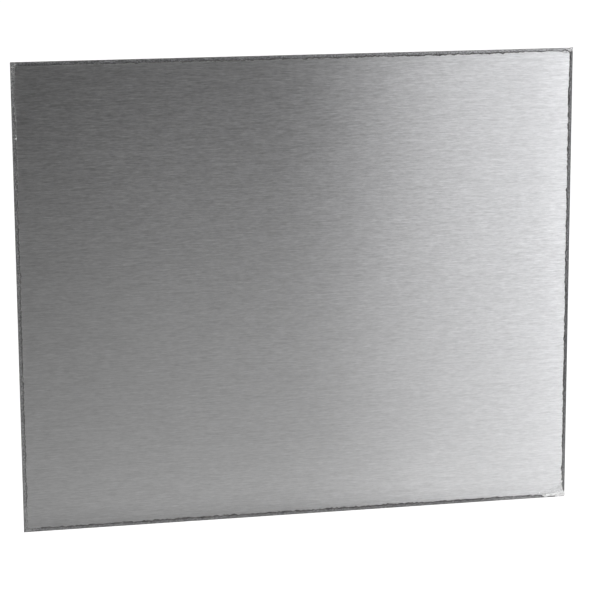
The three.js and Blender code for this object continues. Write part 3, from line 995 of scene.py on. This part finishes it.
def liner_strip(name, seed):
    node, under = f"release_liner_{name}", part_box(f"foam_tape_{name}")
    lo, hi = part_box(node)
    along_x = name in ("top", "bottom")
    a0, a1 = (lo.x, hi.x) if along_x else (lo.z, hi.z)
    b0, b1 = (lo.z, hi.z) if along_x else (lo.x, hi.x)
    tape_end = under[1].x if along_x else under[1].z
    mid, half, R, thick = (b0 + b1) / 2, (b1 - b0) / 2, 0.003, hi.y - lo.y
    na, nb = int((a1 - a0) / 0.0022), 14
    us = list(np.linspace(a0, a1 - R, na)) + [a1 - R + R * math.sin(math.pi / 2 * k / 8) for k in range(1, 9)]
    vs = np.linspace(-1, 1, nb + 1)
    verts, faces = [], []
    for skin in (0, 1):
        for u in us:
            over = max(0.0, u - (a1 - R))
            hw = half - (R - math.sqrt(max(0.0, R * R - over * over)))
            for v in vs:
                b = mid + v * hw
                x, z = (u, b) if along_x else (b, u)
                y = 0.000012 + 0.00007 * (1 + float(lattice(x, 0, z, 0.014, seed))) * 0.5
                y += 0.00005 * (1 + float(lattice(x, 0, z, 0.0045, seed + 3))) * 0.5
                edge = smooth((abs(v) - 0.82) / 0.18)
                y += 0.00010 * float(edge) * (1 + float(lattice(x, 0, z, 0.02, seed + 7))) * 0.5
                free = max(0.0, u - tape_end + 0.001)
                curl = 0.0010 * (free / 0.008) ** 2
                y += curl * (1 + 0.25 * float(lattice(x, 0, z, 0.009, seed + 11)) + 0.2 * v)
                verts.append((x, y + (thick if skin else 0.0), z))
    nu, nv = len(us), nb + 1
    idx = lambda s, i, j: s * nu * nv + i * nv + j
    flip = not along_x
    for i in range(nu - 1):
        for j in range(nv - 1):
            f0 = (idx(0, i, j), idx(0, i + 1, j), idx(0, i + 1, j + 1), idx(0, i, j + 1))
            f1 = tuple(q + nu * nv for q in f0)
            faces += [f0[::-1] if flip else f0, f1 if flip else f1[::-1]]
    rim = [(i, 0) for i in range(nu - 1)] + [(nu - 1, j) for j in range(nv - 1)] + [(i, nv - 1) for i in range(nu - 1, 0, -1)] + [(0, j) for j in range(nv - 1, 0, -1)]
    for k in range(len(rim)):
        p, q = rim[k], rim[(k + 1) % len(rim)]
        f = (idx(0, *p), idx(1, *p), idx(1, *q), idx(0, *q))
        faces.append(f[::-1] if flip else f)
    o = make(f"liner_strip_{name}", verts, faces, [M_LINER])
    mark = o.data.attributes.new("sharp_edge", "BOOLEAN", "EDGE")
    ring_pairs = {tuple(sorted((idx(s, *rim[k]), idx(s, *rim[(k + 1) % len(rim)])))) for s in (0, 1) for k in range(len(rim))}
    mark.data.foreach_set("value", [tuple(sorted(e.vertices)) in ring_pairs for e in o.data.edges])
    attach(o, f"liner_{name}")
    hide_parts(node)
    return o


for i, name in enumerate(("top", "bottom", "left", "centre", "right")):
    tape(f"foam_tape_{name}", 100 + 10 * i)
    liner_strip(name, 200 + 20 * i)


# ------------------------------------------------------------------------------------------
# Studio: pale floor, soft light, reflector cards that only gloss sees
# ------------------------------------------------------------------------------------------
scene.view_settings.view_transform = "Standard"
scene.view_settings.look = "None"
scene.view_settings.exposure = 0.0
scene.view_settings.gamma = 1.0

FLOOR_Z = -0.125 - 0.95


def floor():
    n = Nodes("floor_pale")
    co = n.coords()
    mott = n.noise(co, (0.8, 0.8, 0.8), 2, 0.5, 1.0)
    d = n.new("ShaderNodeBsdfDiffuse", {"Color": n.tint((0.86, 0.86, 0.86), n.swing(mott, 0.01)), "Roughness": 0.5})
    e = n.new("ShaderNodeEmission", {"Color": (1, 1, 1, 1), "Strength": 0.42})
    a = n.new("ShaderNodeAddShader", {0: d.outputs[0], 1: e.outputs[0]})
    mat = n.finish(a.outputs[0])
    r, k = 40.0, 64
    verts = [(0, 0, FLOOR_Z)] + [(r * math.cos(2 * math.pi * i / k), r * math.sin(2 * math.pi * i / k), FLOOR_Z) for i in range(k)]
    faces = [(0, 1 + i, 1 + (i + 1) % k) for i in range(k)]
    o = make("floor", verts, faces, [mat], flat=True)
    o.visible_glossy = False


floor()


def card(name, us, vs, values, place, colour):
    """A glowing sheet that only gloss sees. values[j][i] is its brightness at us[i], vs[j]; place(u, v) gives its point."""
    fine_u = np.linspace(us[0], us[-1], 71)
    fine_v = np.linspace(vs[0], vs[-1], 41)
    val = np.array(values, float)
    rows = np.array([np.interp(fine_u, us, r) for r in val])
    grid = np.array([np.interp(fine_v, vs, rows[:, i]) for i in range(len(fine_u))]).T
    verts = [place(u, v) for v in fine_v for u in fine_u]
    nu = len(fine_u)
    faces = [(j * nu + i, j * nu + i + 1, (j + 1) * nu + i + 1, (j + 1) * nu + i) for j in range(len(fine_v) - 1) for i in range(nu - 1)]
    n = Nodes(name + "_glow")
    at = n.new("ShaderNodeAttribute", attribute_name="glow", attribute_type="GEOMETRY")
    x = n.new("ShaderNodeSeparateXYZ", {0: n.coords()}).outputs[0]
    cool = n.mix(n.ramp(at.outputs["Fac"], 0.5, 3.0), (1.0, 1.0, 1.0 + 1.4 * (colour[2] - 1.0)), colour)
    hue = n.mix(n.ramp(x, -0.1, 0.1), (1.0, 1.0, 1.0), cool)   # the right-hand part is the cooler one
    e = n.new("ShaderNodeEmission", {"Color": hue, "Strength": at.outputs["Fac"]})
    n.mat.cycles.emission_sampling = "NONE"
    o = make(name, verts, faces, [n.finish(e.outputs[0])])
    glow = o.data.attributes.new("glow", "FLOAT", "POINT")
    glow.data.foreach_set("value", grid.ravel().astype(np.float32))
    o.visible_camera = o.visible_diffuse = o.visible_shadow = o.visible_transmission = o.visible_volume_scatter = False
    return o


PANEL_Y = -0.8
PANEL_X = [-1.2, -0.6, -0.3, -0.1, 0.0, 0.08, 0.16, 0.24, 0.32, 0.4, 0.48, 0.6, 0.75, 0.95, 1.2, 1.6]
PANEL_Z = [-0.125, 0.1, 0.3, 0.6, 1.0]
PANEL = [
    [0.081, 0.058, 0.000, 0.000, 0.252, 0.393, 0.000, 0.117, 2.095, 6.336, 9.234, 4.794, 0.000, 0.000, 0.000, 0.000],
    [0.684, 0.371, 0.000, 0.000, 0.000, 0.000, 0.004, 1.274, 1.650, 1.579, 4.608, 3.845, 0.780, 0.000, 0.000, 0.000],
    [2.274, 2.008, 0.000, 0.000, 0.000, 0.000, 0.000, 0.082, 1.911, 0.010, 2.382, 3.073, 1.465, 0.032, 0.000, 0.000],
    [3.773, 2.942, 0.000, 0.000, 0.000, 0.000, 0.000, 0.000, 1.477, 0.535, 0.775, 2.359, 0.676, 0.000, 0.000, 0.005],
    [5.278, 3.169, 0.176, 0.000, 0.064, 0.000, 0.000, 0.000, 0.000, 1.513, 0.000, 0.652, 0.285, 0.054, 0.014, 0.014],
]
card("light_panel", PANEL_X, PANEL_Z, PANEL, lambda u, v: (u, PANEL_Y, v), (0.991, 1.0, 1.022))
TABLE_X = [-0.9, -0.3, 0.1, 0.2, 0.32, 0.5, 1.2]
TABLE_D = [0.0, 0.03, 0.08, 0.2, 0.4, 0.8]
TABLE = [
    [0.196, 0.541, 0.623, 0.869, 0.760, 0.869, 0.696],
    [0.054, 0.453, 1.569, 0.528, 0.238, 0.486, 0.702],
    [0.187, 0.800, 0.946, 1.042, 0.000, 0.000, 0.418],
    [0.203, 0.494, 1.271, 0.764, 0.000, 0.154, 0.243],
    [0.296, 0.313, 1.098, 1.011, 0.000, 0.003, 0.039],
    [0.449, 0.000, 0.000, 0.208, 0.000, 0.000, 0.000],
]
card("table_card", TABLE_X, TABLE_D, TABLE, lambda u, v: (u, -v - 0.0025, -0.1252), (1.0, 1.0, 1.002))


def world():
    w = bpy.data.worlds.new("studio")
    scene.world = w
    w.use_nodes = True
    t = w.node_tree
    t.nodes.clear()
    new = t.nodes.new
    out = new("ShaderNodeOutputWorld")
    co = new("ShaderNodeTexCoord")
    sep = new("ShaderNodeSeparateXYZ")
    t.links.new(co.outputs["Generated"], sep.inputs[0])
    up = new("ShaderNodeMapRange")
    up.interpolation_type = "SMOOTHSTEP"
    for k, v in (("From Min", -0.2), ("From Max", 0.9), ("To Min", 0.32), ("To Max", 0.85)):
        up.inputs[k].default_value = v
    t.links.new(sep.outputs[2], up.inputs["Value"])
    back = new("ShaderNodeMapRange")
    back.interpolation_type = "SMOOTHSTEP"
    for k, v in (("From Min", 0.1), ("From Max", 0.9), ("To Min", 0.0), ("To Max", 0.55)):
        back.inputs[k].default_value = v
    t.links.new(sep.outputs[1], back.inputs["Value"])
    add = new("ShaderNodeMath")
    add.operation = "ADD"
    t.links.new(up.outputs[0], add.inputs[0])
    t.links.new(back.outputs[0], add.inputs[1])
    gloss = new("ShaderNodeBackground")
    t.links.new(add.outputs[0], gloss.inputs["Strength"])
    plain = new("ShaderNodeBackground")
    plain.inputs["Strength"].default_value = 1.0
    path = new("ShaderNodeLightPath")
    mix = new("ShaderNodeMixShader")
    t.links.new(path.outputs["Is Glossy Ray"], mix.inputs[0])
    t.links.new(plain.outputs[0], mix.inputs[1])
    t.links.new(gloss.outputs[0], mix.inputs[2])
    # straight ahead the studio wall is as white as the floor, so no horizon shows
    seen = new("ShaderNodeBackground")
    seen.inputs["Color"].default_value = (1.0, 1.0, 1.0, 1.0)
    seen.inputs["Strength"].default_value = 1.05
    last = new("ShaderNodeMixShader")
    t.links.new(path.outputs["Is Camera Ray"], last.inputs[0])
    t.links.new(mix.outputs[0], last.inputs[1])
    t.links.new(seen.outputs[0], last.inputs[2])
    t.links.new(last.outputs[0], out.inputs["Surface"])


world()


def area(name, loc, target, size, power):
    d = bpy.data.lights.new(name, "AREA")
    d.shape, d.size, d.energy = "DISK", size, power
    o = bpy.data.objects.new(name, d)
    scene.collection.objects.link(o)
    o.location = loc
    o.rotation_mode = "QUATERNION"
    o.rotation_quaternion = (Vector(target) - Vector(loc)).to_track_quat("-Z", "Y")
    o.visible_camera = False
    o.visible_glossy = False
    return o


area("key_soft", (0.9, -0.9, 1.1), (0, 0, 0), 0.9, 10)
area("back_soft", (-0.8, 1.0, 0.9), (0, 0, 0), 0.9, 8)

# ------------------------------------------------------------------------------------------
# Camera
# ------------------------------------------------------------------------------------------
cam_data = bpy.data.cameras.new("camera")
cam_data.sensor_width = 36.0
cam_data.lens = 138.462
cam_data.shift_x, cam_data.shift_y = -0.027349, -0.028190
cam_data.dof.use_dof = False
cam_data.clip_start, cam_data.clip_end = 0.01, 200.0
cam = bpy.data.objects.new("camera", cam_data)
scene.collection.objects.link(cam)
cam.location = (-0.24106, -1.18183, 0.25321)
cam.rotation_mode = "QUATERNION"
cam.rotation_quaternion = Quaternion((0.77128094, 0.62783330, -0.06476011, -0.08220206))
scene.camera = cam
